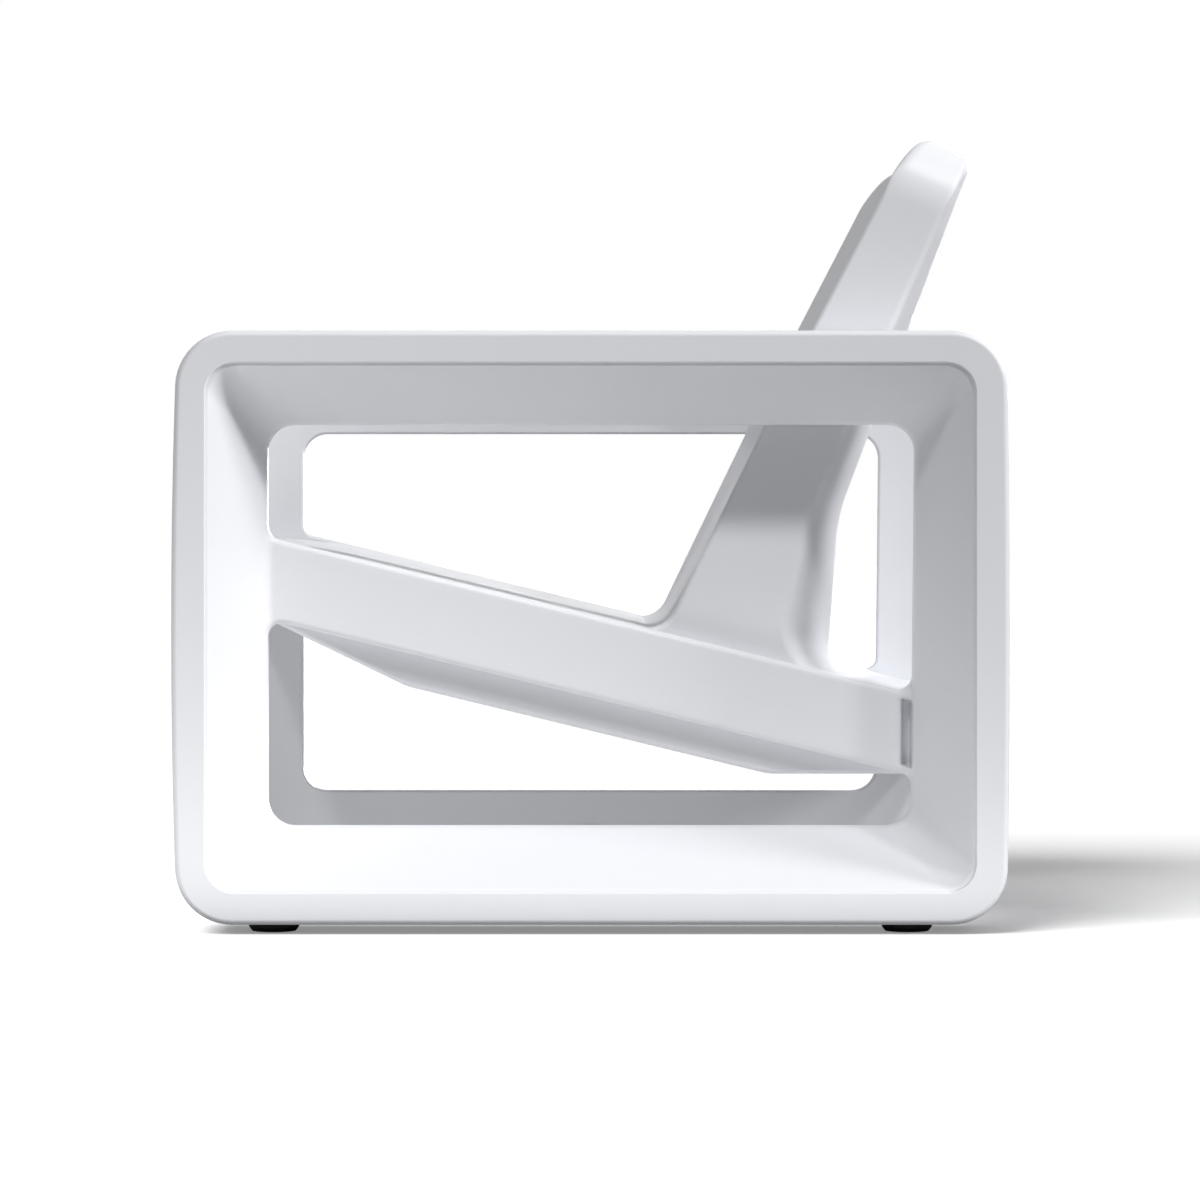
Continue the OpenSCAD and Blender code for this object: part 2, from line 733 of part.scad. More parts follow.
module middle_right_bolt_cover() {
    mirrored() bolt_cover(bolt_places[1]);
}

module rear_right_bolt_cover() {
    mirrored() bolt_cover(bolt_places[2]);
}

// A vent plug with the face it closes at z = 0 and its head above
module vent_plug() {
    color(shell_white) union() {
        translate([0, 0, -plug_l]) cylinder(d = plug_d - fit_gap, h = plug_l);
        cylinder(d = plug_head_d, h = plug_head_h);
    }
}

module left_frame_vent_plug() {
    frame_plug_axis(-inner_half_w) vent_plug();
}

module right_frame_vent_plug() {
    mirrored() left_frame_vent_plug();
}

module seat_shell_vent_plug() {
    on_slope(seat_plug_x, seat_square_t) rotate([180, 0, 0]) vent_plug();
}

left_side_frame();
right_side_frame();
seat_and_back_shell();
front_left_foot();
front_right_foot();
rear_left_foot();
rear_right_foot();
foot_studs();
foot_inserts();
left_frame_inserts();
right_frame_inserts();
left_frame_bolts();
right_frame_bolts();
left_bolt_washers();
right_bolt_washers();
front_left_bolt_cover();
middle_left_bolt_cover();
rear_left_bolt_cover();
front_right_bolt_cover();
middle_right_bolt_cover();
rear_right_bolt_cover();
left_frame_vent_plug();
right_frame_vent_plug();
seat_shell_vent_plug();
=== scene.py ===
"""Looks of an outdoor lounge chair in white moulded plastic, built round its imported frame.

Sizes are in millimetres until a mesh is made. X runs to the rear, Y to the sitter's right, Z up.
A side frame is drawn with its outer face at depth 0 and its inner face at depth FRAME_T.
"""

import json
import math

import bmesh
import bpy
import numpy as np
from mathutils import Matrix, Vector
from mathutils.geometry import delaunay_2d_cdt


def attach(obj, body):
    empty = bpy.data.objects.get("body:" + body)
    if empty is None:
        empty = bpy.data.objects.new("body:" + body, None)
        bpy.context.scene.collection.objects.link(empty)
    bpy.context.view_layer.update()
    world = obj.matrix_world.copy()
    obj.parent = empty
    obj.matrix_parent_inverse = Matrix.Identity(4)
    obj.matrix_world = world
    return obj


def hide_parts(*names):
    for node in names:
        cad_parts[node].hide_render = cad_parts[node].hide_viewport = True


MM = 0.001

# Side frames
HALF_W = 400.0
FRAME_T = 110.0
FRAME_D = 840.0
FRAME_H = 595.0
FOOT_H = 10.0
FRAME_CORNER_R = 57.0
FRONT_CROWN = 6.0
REAR_CROWN = 3.0
OUTER_EDGE_R = 6.0
INNER_EDGE_R = 3.0
RING_POST_W = 34.0
RING_RAIL_W = 32.0
RING_CORNER_R = 30.0
STEP_EDGE_R = 1.0
STEP_D = 3.6
STEP_LEDGE_W = 2.7
STEP_FOOT_W = 0.3
STEP_FOOT_H = 0.5
RECESS_D = 90.0
FRONT_POST_W = 91.0
REAR_POST_W = 89.0
REAR_POST_LEAN = 4.0
RAIL_H = 93.0
WINDOW_R = 27.0
BEAM_CORNER_R = 14.0
BEAM_H = 84.0
WINDOW_ROUND = 4.0
BEAM_ROUND = 6.0
BLEND_DEPTH = 9.0
BLEND_X = -250.0
BLEND_FADE = 60.0
GROOVE_W = 10.5
GROOVE_D = 16.5
GROOVE_END_ROUND = 9.0
GROOVE_END_GAP = 6.5
GROOVE_END_FADE = 3.0
BEVEL_RISE = RECESS_D / (REAR_POST_W - RING_POST_W)
# The groove's bends: start, corner and end of each, as (distance ahead of the window's rear edge, depth)
GROOVE_BENDS = (
    ((-1.5, -1.5 * BEVEL_RISE), (0, 0), (0.15, 3)),
    ((0.3, GROOVE_D - 3), (0.4, GROOVE_D), (3.4, GROOVE_D)),
    ((GROOVE_W - 3.4, GROOVE_D), (GROOVE_W - 0.4, GROOVE_D), (GROOVE_W - 0.3, GROOVE_D - 2)),
    ((GROOVE_W - 0.1, GROOVE_END_ROUND - 0.5), (GROOVE_W + 0.1, 0), (GROOVE_W + GROOVE_END_ROUND, 0)),
)

# Seat
SEAT_SLOPE = math.radians(13.6)
SEAT_MID_H = 318.0
SEAT_FRONT_X = -405.0
SEAT_REAR_X = 400.0
SEAT_T = 119.0
SEAT_FLAT_H = 155.0
RAMP_X = -188.0
RAMP_SLOPE = math.radians(25.8)
ROLL_X = -239.0
ROLL_R = 620.0
NOSE_TOP_R = 16.0
NOSE_BOTTOM_R = 12.0
UNDER_BEND_R = 60.0
DECK_EDGE_R = 18.0
SEAT_EDGE_R = 5.0

# Backrest
BACK_TOP_H = 812.0
BACK_SIDE_GAP = 5.0
BACK_BASE_X = 75.0
LEAN_LOW = math.radians(25.6)
LEAN_HIGH = math.radians(27.4)
BEND_H = 565.0
TOP_FALL = 26.0
SIDE_TOP_DEPTH = 72.0
SIDE_WAIST_DEPTH = 92.0
WAIST_H = 420.0
SIDE_FOOT_DEPTH = 118.0
BULGE_TOP = 8.0
BULGE_WAIST = 34.0
BULGE_FOOT = 54.0
DISH_TOP = 18.0
DISH_BEND = 20.0
BULGE_STRIP_W = 70.0
BULGE_BLEND_SHARE = 0.3
BACK_CORNER_R = 55.0
TOP_FRONT_R = 14.0
TOP_REAR_R = 7.0
FRONT_BLEND_R = 30.0
REAR_BLEND_R = 42.0
WAIST_BEND_R = 160.0
BACK_EDGE_R = 6.0
BACK_BEND_R = 300.0
ROOT_SINK = 0.8
ROOT_DEPTH = 30.0
ROOT_SPREAD = 1.5
# Distances of the backrest's inner sections from its side
BACK_SECTIONS = (60, 64, 68, 72, 76, 80, 86, 92, 160, 230)

# Bolt pockets in the seat's underside
BOLT_PLACES = (-108.0, 24.0, 156.0)
BOLT_WALL_T = 12.0
POCKET_L = 66.0
POCKET_W = 50.0
POCKET_DEPTH = 93.0
COVER_LEDGE_W = 4.0
COVER_T = 3.0
CUT_PAST = 5.0

# Fineness of the mesh
CORNER_STEPS = 12
EDGE_STEPS = 6
BEND_STEPS = 7
STEP_STEPS = 3
BACK_CORNER_STEPS = 15
ROLL_STEPS = 16
HALVINGS = 40
SHARE_LIMIT = 1.4
BEVEL_SHARES = (0.3, 0.6, 0.9)
LEDGE_SHARES = (1, 1.3, 2)
PROBE = 0.5
WELD_M = 2e-6
CROSSING_GAP = 1e-7

HALF_H = FRAME_H / 2
MID_H = FOOT_H + HALF_H
FRONT_X = -FRAME_D / 2
REAR_X = FRAME_D / 2
WINDOW_FRONT_X = FRONT_X + FRONT_POST_W
WINDOW_REAR_X = REAR_X - REAR_POST_W
WINDOW_LOW = FOOT_H + RAIL_H
WINDOW_HIGH = FOOT_H + FRAME_H - RAIL_H
INNER_HALF_W = HALF_W - FRAME_T
BACK_HALF_W = INNER_HALF_W - BACK_SIDE_GAP
POST_SHARES = np.linspace(-0.76, 0.76, 9)
BOX_FACES = ((0, 1, 3, 2), (4, 6, 7, 5), (0, 4, 5, 1), (2, 3, 7, 6), (0, 2, 6, 4), (1, 5, 7, 3))


def seat_z(x):
    """Height of the seat surface at a place along the chair."""
    return SEAT_MID_H - x * math.tan(SEAT_SLOPE)


def window_edge_x(z):
    """Rear edge of a frame's window at a height."""
    return WINDOW_REAR_X - REAR_POST_LEAN * (WINDOW_HIGH - z) / (WINDOW_HIGH - WINDOW_LOW)


def smooth(t):
    """A share from 0 to 1 with level ends."""
    t = np.clip(t, 0, 1)
    return t * t * (3 - 2 * t)


def soft_min(a, b, k):
    """The smaller of two values, blended where they differ by less than k."""
    k = np.maximum(k, 1e-6)
    h = np.maximum(k - np.abs(a - b), 0) / k
    return np.minimum(a, b) - h * h * k / 4


def corner_arc(before, at, after, r, steps):
    """One corner of an outline, rounded by an arc."""
    if r <= 0:
        return [at]
    u = (at - before) / np.linalg.norm(at - before)
    v = (after - at) / np.linalg.norm(after - at)
    bend = math.atan2(u[0] * v[1] - u[1] * v[0], u @ v)
    start = at - u * r * math.tan(abs(bend) / 2)
    centre = start + np.array([-u[1], u[0]]) * r * np.sign(bend)
    arm = start - centre
    out = []
    for i in range(steps + 1):
        c, s = math.cos(bend * i / steps), math.sin(bend * i / steps)
        out.append(centre + np.array([arm[0] * c - arm[1] * s, arm[0] * s + arm[1] * c]))
    return out


def rounded(points, radii, steps=CORNER_STEPS):
    """An outline with every corner rounded by its own radius."""
    pts = [np.array(p, float) for p in points]
    n = len(pts)
    out = []
    for i, r in enumerate(radii):
        out += corner_arc(pts[i - 1], pts[i], pts[(i + 1) % n], r, steps)
    return np.array(out)


def outward(points):
    """Outward directions at the points of a closed anticlockwise outline."""
    ahead = np.roll(points, -1, axis=0) - points
    behind = points - np.roll(points, 1, axis=0)
    ahead /= np.linalg.norm(ahead, axis=1)[:, None]
    behind /= np.linalg.norm(behind, axis=1)[:, None]
    along = ahead + behind
    along /= np.linalg.norm(along, axis=1)[:, None]
    return np.column_stack([along[:, 1], -along[:, 0]])


def shrunk(points, d):
    """A polygon moved inwards by a distance, corner by corner."""
    pts = [np.array(p, float) for p in points]
    n = len(pts)
    out = []
    for i in range(n):
        a, b = pts[i] - pts[i - 1], pts[(i + 1) % n] - pts[i]
        a, b = a / np.linalg.norm(a), b / np.linalg.norm(b)
        na, nb = np.array([-a[1], a[0]]), np.array([-b[1], b[0]])
        out.append(pts[i] + (na + nb) * d / (1 + na @ nb))
    return out


def at_depth(outline, depth):
    """An outline of (x, z) points as a loop of (x, depth, z) points."""
    return np.column_stack([outline[:, 0], np.broadcast_to(depth, len(outline)), outline[:, 1]])


def curve(p0, p1, p2, steps):
    """Loops along a quadratic curve from p0 to p2, bent towards p1."""
    return [(1 - t) ** 2 * p0 + 2 * t * (1 - t) * p1 + t * t * p2 for t in np.linspace(0, 1, steps + 1)]


def quarter_round(r, count):
    """Points of a rounded edge as pairs of distances from its two faces, from (0, r) to (r, 0)."""
    return [(r * (1 - math.cos(a)), r * (1 - math.sin(a))) for a in np.linspace(0, math.pi / 2, count)]


class Skin:
    """A surface gathered from loops and filled regions."""

    def __init__(self):
        self.points = []
        self.faces = []

    def add(self, points, faces):
        """Adds points, and faces given by their places among these points."""
        start = len(self.points)
        self.points += [tuple(p) for p in points]
        self.faces += [tuple(start + i for i in f) for f in faces]

    def add_loops(self, loops):
        """Joins each loop to the next by a band of four-sided faces."""
        n = len(loops[0])
        faces = []
        for k in range(len(loops) - 1):
            for i in range(n):
                j = (i + 1) % n
                faces.append((k * n + i, k * n + j, (k + 1) * n + j, (k + 1) * n + i))
        self.add(np.vstack(loops), faces)

    def add_cap(self, loop):
        """Closes a flat loop by one face."""
        self.add(loop, [range(len(loop))])

    def add_region(self, outer, holes, inner, depth):
        """Fills a flat or gently shaped region between outlines; depth gives its depth at (x, z)."""
        rings = [outer, *holes]
        points = np.vstack([*rings, inner]) if len(inner) else np.vstack(rings)
        edges, start = [], 0
        for ring in rings:
            n = len(ring)
            edges += [(start + i, start + (i + 1) % n) for i in range(n)]
            start += n
        made = delaunay_2d_cdt([Vector(p) for p in points], edges, [], 0, CROSSING_GAP)
        flat = np.array([tuple(v) for v in made[0]])
        faces = []
        for f in made[2]:
            middle = flat[list(f)].mean(axis=0)
            if inside(middle, outer) and not any(inside(middle, h) for h in holes):
                faces.append(tuple(f))
        self.add(np.column_stack([flat[:, 0], depth(flat[:, 0], flat[:, 1]), flat[:, 1]]), faces)


def inside(p, ring):
    """Whether a point lies inside a closed outline."""
    x0, z0 = ring[:, 0], ring[:, 1]
    x1, z1 = np.roll(x0, -1), np.roll(z0, -1)
    crosses = (z0 > p[1]) != (z1 > p[1])
    rise = np.where(crosses, z1 - z0, 1)
    return bool(np.count_nonzero(crosses & (p[0] < (x1 - x0) * (p[1] - z0) / rise + x0)) % 2)


def weigh_normals(mesh):
    """Normals in which large faces outweigh the narrow faces of a rounded edge."""
    n = len(mesh.vertices)
    total = np.zeros((n, 3))
    for p in mesh.polygons:
        total[list(p.vertices)] += np.array(p.normal) * p.area
    total /= np.maximum(np.linalg.norm(total, axis=1), 1e-12)[:, None]
    for p in mesh.polygons:
        p.use_smooth = True
    mesh.normals_split_custom_set_from_vertices([tuple(v) for v in total])


def make_object(name, skin, mirror=1):
    """A closed mesh object from a skin in millimetres; mirror -1 makes the right-hand twin."""
    mesh = bpy.data.meshes.new(name)
    scale = np.array([MM, MM * mirror, MM])
    mesh.from_pydata([tuple(np.array(p) * scale) for p in skin.points], [], skin.faces)
    bm = bmesh.new()
    bm.from_mesh(mesh)
    bmesh.ops.remove_doubles(bm, verts=bm.verts, dist=WELD_M)
    loose = [v for v in bm.verts if not v.link_faces]
    bmesh.ops.delete(bm, geom=loose, context="VERTS")
    bmesh.ops.recalc_face_normals(bm, faces=bm.faces)
    bm.to_mesh(mesh)
    bm.free()
    obj = bpy.data.objects.new(name, mesh)
    bpy.context.scene.collection.objects.link(obj)
    return obj


# Side frames


def frame_loop(d):
    """Outer outline of a side frame, moved inwards by a distance."""

    def post(edge, crown, s):
        return math.copysign(abs(edge) - crown * s * s, edge)

    rear = [(post(REAR_X, REAR_CROWN, s), MID_H + s * HALF_H) for s in POST_SHARES]
    front = [(post(FRONT_X, FRONT_CROWN, s), MID_H - s * HALF_H) for s in POST_SHARES]
    low, high = FOOT_H, FOOT_H + FRAME_H
    x0, x1 = post(FRONT_X, FRONT_CROWN, 1), post(REAR_X, REAR_CROWN, 1)
    points = [(x0, low), (x1, low), *rear, (x1, high), (x0, high), *front]
    r = FRAME_CORNER_R - d
    flat = [0] * len(POST_SHARES)
    return rounded(shrunk(points, d), [r, r, *flat, r, r, *flat])


def box_loop(x0, x1_low, x1_high, z0, z1, r):
    """A rounded four-sided outline with as many points as frame_loop."""
    mid, half = (z0 + z1) / 2, (z1 - z0) / 2
    rear = [(x1_low + (x1_high - x1_low) * (1 + s) / 2, mid + s * half) for s in POST_SHARES]
    front = [(x0, mid - s * half) for s in POST_SHARES]
    points = [(x0, z0), (x1_low, z0), *rear, (x1_high, z1), (x0, z1), *front]
    flat = [0] * len(POST_SHARES)
    return rounded(points, [r, r, *flat, r, r, *flat])


def ring_loop(grow):
    """Inner edge of the flat ring, grown by a distance."""
    return box_loop(
        FRONT_X + RING_POST_W - grow,
        REAR_X - RING_POST_W + grow,
        REAR_X - RING_POST_W + grow,
        FOOT_H + RING_RAIL_W - grow,
        FOOT_H + FRAME_H - RING_RAIL_W + grow,
        RING_CORNER_R + grow,
    )


def bevel_loop(t):
    """A loop on the bevelled recess, from the ring's edge at 0 to the window's edge at 1."""
    window = box_loop(
        WINDOW_FRONT_X, WINDOW_REAR_X - REAR_POST_LEAN, WINDOW_REAR_X, WINDOW_LOW, WINDOW_HIGH, WINDOW_R
    )
    return at_depth((1 - t) * ring_loop(0) + t * window, RECESS_D * t)


def step_loops():
    """Loops down the small step and over the narrow ledge between the ring and the bevel."""
    r, edge = STEP_EDGE_R, ring_loop(0)
    down = curve(at_depth(ring_loop(r), 0), at_depth(edge, 0), at_depth(edge, r), STEP_STEPS)
    down += [at_depth(edge, STEP_D - STEP_FOOT_H), at_depth(ring_loop(-STEP_FOOT_W), STEP_D)]
    t = STEP_LEDGE_W / (RAIL_H - RING_RAIL_W)
    return down + [bevel_loop(t * k) for k in LEDGE_SHARES]


def bevel_share(x, z):
    """How far down the bevel a place lies, as a share that passes 1 beyond the window's edge."""
    low, high = np.zeros_like(x), np.full_like(x, SHARE_LIMIT)
    for _ in range(HALVINGS):
        t = (low + high) / 2
        x0 = FRONT_X + RING_POST_W + t * (FRONT_POST_W - RING_POST_W)
        x1 = (1 - t) * (REAR_X - RING_POST_W) + t * window_edge_x(z)
        z0 = FOOT_H + RING_RAIL_W + t * (RAIL_H - RING_RAIL_W)
        z1 = FOOT_H + FRAME_H - RING_RAIL_W - t * (RAIL_H - RING_RAIL_W)
        r = RING_CORNER_R + t * (WINDOW_R - RING_CORNER_R)
        qx = np.maximum(x0 - x, x - x1) + r
        qz = np.maximum(z0 - z, z - z1) + r
        gap = np.hypot(np.maximum(qx, 0), np.maximum(qz, 0)) + np.minimum(np.maximum(qx, qz), 0) - r
        low, high = np.where(gap < 0, t, low), np.where(gap < 0, high, t)
    return (low + high) / 2


def groove_profile():
    """Section of the groove: distances ahead of the window's rear edge, and the depths it adds."""
    bends = [curve(np.array(a), np.array(b), np.array(c), BEND_STEPS) for a, b, c in GROOVE_BENDS]
    points = np.vstack(bends)
    u = points[:, 0]
    return u, points[:, 1] - BEVEL_RISE * np.minimum(u, 0)


GROOVE_U, GROOVE_ADDS = groove_profile()


def recess_depth(x, z):
    """Depth of the recess: bevels, seat beam, their blend at the front and the groove at the rear."""
    k = BLEND_DEPTH * np.clip((BLEND_X - x) / BLEND_FADE, 0, 1)
    depth = soft_min(RECESS_D * bevel_share(x, z), RECESS_D, k)
    room = np.minimum(seat_z(x) - z, z - seat_z(x) + BEAM_H) * math.cos(SEAT_SLOPE)
    fade = smooth((room - GROOVE_END_GAP) / GROOVE_END_FADE)
    adds = np.interp(window_edge_x(z) - x, GROOVE_U, GROOVE_ADDS, 0, 0)
    return depth + fade * adds


def upper_window():
    """Outline of the window above the seat beam."""
    x1 = window_edge_x(seat_z(WINDOW_REAR_X))
    return rounded(
        [
            (WINDOW_FRONT_X, seat_z(WINDOW_FRONT_X)),
            (x1, seat_z(x1)),
            (WINDOW_REAR_X, WINDOW_HIGH),
            (WINDOW_FRONT_X, WINDOW_HIGH),
        ],
        [BEAM_CORNER_R, BEAM_CORNER_R, WINDOW_R, WINDOW_R],
    )


def lower_window():
    """Outline of the window below the seat beam."""
    x1 = window_edge_x(seat_z(WINDOW_REAR_X) - BEAM_H)
    return rounded(
        [
            (WINDOW_FRONT_X, WINDOW_LOW),
            (WINDOW_REAR_X - REAR_POST_LEAN, WINDOW_LOW),
            (x1, seat_z(x1) - BEAM_H),
            (WINDOW_FRONT_X, seat_z(WINDOW_FRONT_X) - BEAM_H),
        ],
        [WINDOW_R, WINDOW_R, BEAM_CORNER_R, BEAM_CORNER_R],
    )


def window_strip(window, towards_beam):
    """Loops from the recess round the window's edge and through to the inner face."""
    out = outward(window)
    reach = WINDOW_ROUND + (BEAM_ROUND - WINDOW_ROUND) * smooth(np.maximum(out[:, 1] * towards_beam, 0))
    start = window + out * reach[:, None]
    probe = start - out * PROBE
    depth = recess_depth(start[:, 0], start[:, 1])
    slope = (recess_depth(probe[:, 0], probe[:, 1]) - depth) / PROBE
    edge = depth + slope * reach
    end = edge + np.hypot(reach, slope * reach)
    loops = curve(at_depth(start, depth), at_depth(window, edge), at_depth(window, end), EDGE_STEPS)
    for grow, short in quarter_round(INNER_EDGE_R, EDGE_STEPS):
        loops.append(at_depth(window + out * grow, FRAME_T - short))
    return loops


def beam_points():
    """Places on the seat beam that carry its blend at the front and its groove at the rear."""
    places = []
    # A grid over the blend
    for x in np.arange(WINDOW_FRONT_X - 4, WINDOW_FRONT_X + 14, 1.5):
        for z in np.arange(seat_z(x) - BEAM_H + 10, seat_z(x) - 9, 6):
            places.append((x, z))
    # Columns along the groove's section, closely set where the groove fades at its two ends
    ends = np.arange(GROOVE_END_GAP + 0.4, GROOVE_END_GAP + GROOVE_END_FADE + 2, 0.7)
    ends = ends / math.cos(SEAT_SLOPE)
    drops = [*ends, *np.arange(ends[-1] + 4, BEAM_H - ends[-1] - 2, 5), *(BEAM_H - ends[::-1])]
    for u in [*GROOVE_U, -3.0, GROOVE_W + GROOVE_END_ROUND + 3]:
        for drop in drops:
            x = window_edge_x(seat_z(WINDOW_REAR_X) - drop) - u
            z = seat_z(x) - drop
            places.append((window_edge_x(z) - u, z))
    return np.array(places)


def side_frame(name, side):
    """A side frame's moulding; side -1 is the sitter's left."""
    skin = Skin()
    inner, outer = (quarter_round(r, EDGE_STEPS + 1) for r in (INNER_EDGE_R, OUTER_EDGE_R))
    loops = [at_depth(frame_loop(shrink), FRAME_T - short) for short, shrink in inner]
    loops += [at_depth(frame_loop(shrink), depth) for shrink, depth in outer]
    loops += step_loops()
    loops += [bevel_loop(t) for t in BEVEL_SHARES]
    skin.add_loops(loops)
    strips = [window_strip(upper_window(), -1), window_strip(lower_window(), 1)]
    for strip in strips:
        skin.add_loops(strip)
    flat = [0, 2]
    front, back = [s[0][:, flat] for s in strips], [s[-1][:, flat] for s in strips]
    skin.add_region(loops[-1][:, flat], front, beam_points(), recess_depth)
    skin.add_region(loops[0][:, flat], back, [], lambda x, z: np.full_like(x, FRAME_T))
    skin.points = [(x, y - HALF_W, z) for x, y, z in skin.points]
    obj = make_object(name, skin, -side)
    weigh_normals(obj.data)
    return obj


# Seat and backrest


def seat_loop(d):
    """Side outline of the seat, moved inwards by a distance."""

    def surface(x):
        """The seat surface, rolled down towards its front edge."""
        return seat_z(x) - (x - ROLL_X) ** 2 / (2 * ROLL_R) * (x < ROLL_X)

    def ramp(x):
        """The steeper underside near the front edge."""
        return seat_z(RAMP_X) - SEAT_T + (RAMP_X - x) * math.tan(RAMP_SLOPE)

    flat_x = (SEAT_MID_H - SEAT_T - SEAT_FLAT_H) / math.tan(SEAT_SLOPE)
    roll = [(x, surface(x)) for x in np.linspace(ROLL_X, SEAT_FRONT_X, ROLL_STEPS)]
    points = [
        (SEAT_FRONT_X, ramp(SEAT_FRONT_X)),
        (RAMP_X, ramp(RAMP_X)),
        (flat_x, SEAT_FLAT_H),
        (SEAT_REAR_X, SEAT_FLAT_H),
        (SEAT_REAR_X, seat_z(SEAT_REAR_X)),
        *roll,
    ]
    radii = [NOSE_BOTTOM_R - d, UNDER_BEND_R - d, UNDER_BEND_R - d, DECK_EDGE_R - d, DECK_EDGE_R - d]
    # The roll's last point but one lies inside the arc of the nose, so it is left out
    points = points[:-2] + points[-1:]
    radii += [0] * (len(points) - 6) + [NOSE_TOP_R - d]
    return rounded(shrunk(points, d), radii)


def seat_body():
    """The seat's outer skin with rounded long edges."""
    skin = Skin()
    ends = [(INNER_HALF_W - short, d) for short, d in quarter_round(SEAT_EDGE_R, EDGE_STEPS)]
    loops = [at_depth(seat_loop(d), -y) for y, d in ends]
    loops += [at_depth(seat_loop(d), y) for y, d in ends[::-1]]
    skin.add_loops(loops)
    skin.add_cap(loops[0])
    skin.add_cap(loops[-1])
    return make_object("seat_body", skin)


def sloped_box(x, sides, half_l, depths):
    """A box set square to the seat's slope at x; sides and depths give its reach across and down."""
    c, s = math.cos(SEAT_SLOPE), math.sin(SEAT_SLOPE)
    points = []
    for u in (-half_l, half_l):
        for y in sides:
            for d in depths:
                points.append((x + u * c - d * s, y, seat_z(x) - u * s - d * c))
    skin = Skin()
    skin.add(points, BOX_FACES)
    return skin


def cut(obj, skin):
    """Takes the solid inside a skin out of an object."""
    cutter = make_object("cutter", skin)
    modifier = obj.modifiers.new("cut", "BOOLEAN")
    modifier.object, modifier.operation, modifier.solver = cutter, "DIFFERENCE", "EXACT"
    bpy.context.view_layer.update()
    result = obj.evaluated_get(bpy.context.evaluated_depsgraph_get())
    made = bpy.data.meshes.new_from_object(result)
    obj.modifiers.clear()
    obj.data = made
    bpy.data.objects.remove(cutter)


def cut_pockets(seat):
    """Cuts the bolt pockets and the ledges of their covers into the seat's underside."""
    square_t = SEAT_T * math.cos(SEAT_SLOPE)
    wall = INNER_HALF_W - BOLT_WALL_T
    for side in (-1, 1):
        for x in BOLT_PLACES:
            for grow, depth in ((COVER_LEDGE_W, COVER_T), (0, POCKET_DEPTH)):
                sides = sorted((side * (wall + grow), side * (wall - POCKET_W - grow)))
                depths = (square_t - depth, square_t + CUT_PAST)
                cut(seat, sloped_box(x, sides, POCKET_L / 2 + grow, depths))


def front_x(z):
    """Front face of the backrest at a height."""
    low = BACK_BASE_X + (min(z, BEND_H) - seat_z(BACK_BASE_X)) * math.tan(LEAN_LOW)
    return low + max(z - BEND_H, 0) * math.tan(LEAN_HIGH)


def back_corners(drop, share):
    """Corners of the backrest's side outline, its top lowered by drop and its faces set back by a share."""
    front_top, rear_top = BACK_TOP_H - drop, BACK_TOP_H - TOP_FALL - drop
    at = (rear_top - WAIST_H) / (BACK_TOP_H - TOP_FALL - WAIST_H)
    depth = SIDE_WAIST_DEPTH + (SIDE_TOP_DEPTH - SIDE_WAIST_DEPTH) * at
    bulge = BULGE_WAIST + (BULGE_TOP - BULGE_WAIST) * at
    foot_x = BACK_BASE_X + SIDE_FOOT_DEPTH + share * BULGE_FOOT
    x0, x1 = BACK_BASE_X - FRONT_BLEND_R * ROOT_SPREAD, foot_x + REAR_BLEND_R * ROOT_SPREAD
    return [
        (x0, seat_z(x0) - ROOT_DEPTH),
        (x1, seat_z(x1) - ROOT_DEPTH),
        (x1, seat_z(x1) - ROOT_SINK),
        (foot_x, seat_z(foot_x) - ROOT_SINK),
        (front_x(WAIST_H) + SIDE_WAIST_DEPTH + share * BULGE_WAIST, WAIST_H),
        (front_x(rear_top) + depth + share * bulge, rear_top),
        (front_x(front_top) + share * DISH_TOP, front_top),
        (front_x(BEND_H) + share * DISH_BEND, BEND_H),
        (BACK_BASE_X, seat_z(BACK_BASE_X) - ROOT_SINK),
        (x0, seat_z(x0) - ROOT_SINK),
    ]


def back_loop(y, d):
    """One side outline of the backrest at a place across the chair, inside a skin of thickness d."""
    over = abs(y) - (BACK_HALF_W - BACK_CORNER_R)
    drop = BACK_CORNER_R - math.sqrt(max(BACK_CORNER_R**2 - over * over, 0)) if over > 0 else 0
    share = float(soft_min((BACK_HALF_W - abs(y)) / BULGE_STRIP_W, 1.0, BULGE_BLEND_SHARE))
    rear = [REAR_BLEND_R + d, WAIST_BEND_R + d, TOP_REAR_R]
    front = [TOP_FRONT_R, BACK_BEND_R, FRONT_BLEND_R + d]
    radii = [0, 0, 0, *rear, *front, 0]
    return at_depth(rounded(shrunk(back_corners(drop, share), d), radii), y)


def backrest():
    """The backrest's skin, lofted across the chair."""
    ends = [(BACK_HALF_W - short, d) for short, d in quarter_round(BACK_EDGE_R, EDGE_STEPS + 1)]
    arc = [short for short, _ in quarter_round(BACK_CORNER_R, BACK_CORNER_STEPS)]
    inner = [BACK_HALF_W - p for p in (*arc, *BACK_SECTIONS) if p > BACK_EDGE_R + 1]
    places = [-y for y in inner] + inner[::-1]
    skin = Skin()
    loops = [back_loop(-y, d) for y, d in ends] + [back_loop(y, 0) for y in places]
    loops += [back_loop(y, d) for y, d in ends[::-1]]
    skin.add_loops(loops)
    skin.add_cap(loops[0])
    skin.add_cap(loops[-1])
    return make_object("backrest_skin", skin)


def join(name, objects):
    """One object from several, each keeping its own closed surface."""
    bm = bmesh.new()
    for o in objects:
        bm.from_mesh(o.data)
        bpy.data.objects.remove(o)
    mesh = bpy.data.meshes.new(name)
    bm.to_mesh(mesh)
    bm.free()
    obj = bpy.data.objects.new(name, mesh)
    bpy.context.scene.collection.objects.link(obj)
    return obj


def seat_and_back():
    """The moulding of seat and backrest, with its pockets."""
    seat = seat_body()
    cut_pockets(seat)
    obj = join("seat_and_back_moulding", [seat, backrest()])
    weigh_normals(obj.data)
    return obj


# Materials


